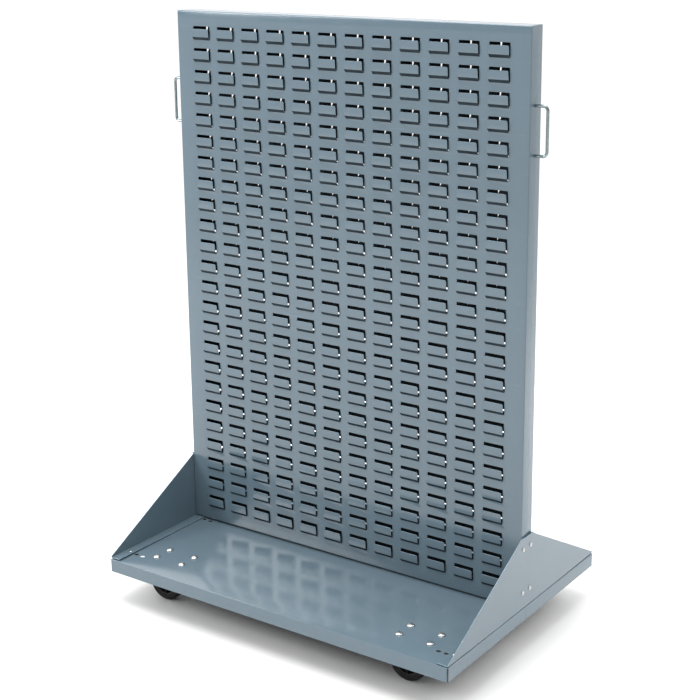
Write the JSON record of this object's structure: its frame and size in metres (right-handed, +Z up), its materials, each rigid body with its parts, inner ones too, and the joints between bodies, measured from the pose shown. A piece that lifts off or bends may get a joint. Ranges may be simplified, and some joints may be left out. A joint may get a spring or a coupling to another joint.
{
  "type": "louvred bin rack",
  "caption": "Double-sided steel louvre panel rack on a flat caster base, with triangular end gussets and wire pulls; bins hook over the louvres on both faces.",
  "frame": {"origin": "on the floor at the centre of the footprint", "axes": "+Z up; -Y out of the front louvre panel, +Y out of the rear one; +X to the right along the panels as seen from the front"},
  "size_m": [0.9742, 0.6478, 1.346],
  "materials": {
    "blue_grey_paint": "satin powder coat",
    "zinc_plate": "bright zinc plate",
    "bright_wire": "bright plated wire",
    "dark_nylon": "moulded",
    "black_tread": "moulded rubber"
  },
  "bodies": {
    "rack": {"front_louvre_panel": "blue_grey_paint", "rear_louvre_panel": "blue_grey_paint", "front_base_tray": "blue_grey_paint", "rear_base_tray": "blue_grey_paint", "left_gusset": "blue_grey_paint", "right_gusset": "blue_grey_paint", "left_pull": "bright_wire", "right_pull": "bright_wire", "gusset_screw_left_front_lower": "zinc_plate", "gusset_screw_left_front_upper": "zinc_plate", "gusset_screw_left_rear_lower": "zinc_plate", "gusset_screw_left_rear_upper": "zinc_plate", "gusset_screw_right_front_lower": "zinc_plate", "gusset_screw_right_front_upper": "zinc_plate", "gusset_screw_right_rear_lower": "zinc_plate", "gusset_screw_right_rear_upper": "zinc_plate", "tray_screw_left_front": "zinc_plate", "tray_screw_left_rear": "zinc_plate", "tray_screw_right_front": "zinc_plate", "tray_screw_right_rear": "zinc_plate", "pull_screw_left_lower": "zinc_plate", "pull_screw_left_upper": "zinc_plate", "pull_screw_right_lower": "zinc_plate", "pull_screw_right_upper": "zinc_plate", "caster_front_left_plate": "zinc_plate", "caster_front_right_plate": "zinc_plate", "caster_rear_left_plate": "zinc_plate", "caster_rear_right_plate": "zinc_plate"},
    "caster_front_left_swivel_body": {"caster_front_left_fork": "zinc_plate", "caster_front_left_axle": "zinc_plate"},
    "caster_front_left_wheel_body": {"caster_front_left_hub": "dark_nylon", "caster_front_left_tyre": "black_tread"},
    "caster_front_right_swivel_body": {"caster_front_right_fork": "zinc_plate", "caster_front_right_axle": "zinc_plate"},
    "caster_front_right_wheel_body": {"caster_front_right_hub": "dark_nylon", "caster_front_right_tyre": "black_tread"},
    "caster_rear_left_swivel_body": {"caster_rear_left_fork": "zinc_plate", "caster_rear_left_axle": "zinc_plate"},
    "caster_rear_left_wheel_body": {"caster_rear_left_hub": "dark_nylon", "caster_rear_left_tyre": "black_tread"},
    "caster_rear_right_swivel_body": {"caster_rear_right_fork": "zinc_plate", "caster_rear_right_axle": "zinc_plate"},
    "caster_rear_right_wheel_body": {"caster_rear_right_hub": "dark_nylon", "caster_rear_right_tyre": "black_tread"}
  },
  "joints": [
    {"name": "caster_front_left_swivel", "type": "hinge", "parent": "rack", "child": "caster_front_left_swivel_body", "pos_m": [-0.336, -0.2335, 0.092], "axis": [0, 0, 1], "continuous": true},
    {"name": "caster_front_left_roll", "type": "hinge", "parent": "caster_front_left_swivel_body", "child": "caster_front_left_wheel_body", "pos_m": [-0.361, -0.2335, 0.04445], "axis": [0, 1, 0], "continuous": true},
    {"name": "caster_front_right_swivel", "type": "hinge", "parent": "rack", "child": "caster_front_right_swivel_body", "pos_m": [0.336, -0.2335, 0.092], "axis": [0, 0, 1], "continuous": true},
    {"name": "caster_front_right_roll", "type": "hinge", "parent": "caster_front_right_swivel_body", "child": "caster_front_right_wheel_body", "pos_m": [0.311, -0.2335, 0.04445], "axis": [0, 1, 0], "continuous": true},
    {"name": "caster_rear_left_swivel", "type": "hinge", "parent": "rack", "child": "caster_rear_left_swivel_body", "pos_m": [-0.336, 0.2335, 0.092], "axis": [0, 0, 1], "continuous": true},
    {"name": "caster_rear_left_roll", "type": "hinge", "parent": "caster_rear_left_swivel_body", "child": "caster_rear_left_wheel_body", "pos_m": [-0.361, 0.2335, 0.04445], "axis": [0, 1, 0], "continuous": true},
    {"name": "caster_rear_right_swivel", "type": "hinge", "parent": "rack", "child": "caster_rear_right_swivel_body", "pos_m": [0.336, 0.2335, 0.092], "axis": [0, 0, 1], "continuous": true},
    {"name": "caster_rear_right_roll", "type": "hinge", "parent": "caster_rear_right_swivel_body", "child": "caster_rear_right_wheel_body", "pos_m": [0.311, 0.2335, 0.04445], "axis": [0, 1, 0], "continuous": true}
  ]
}
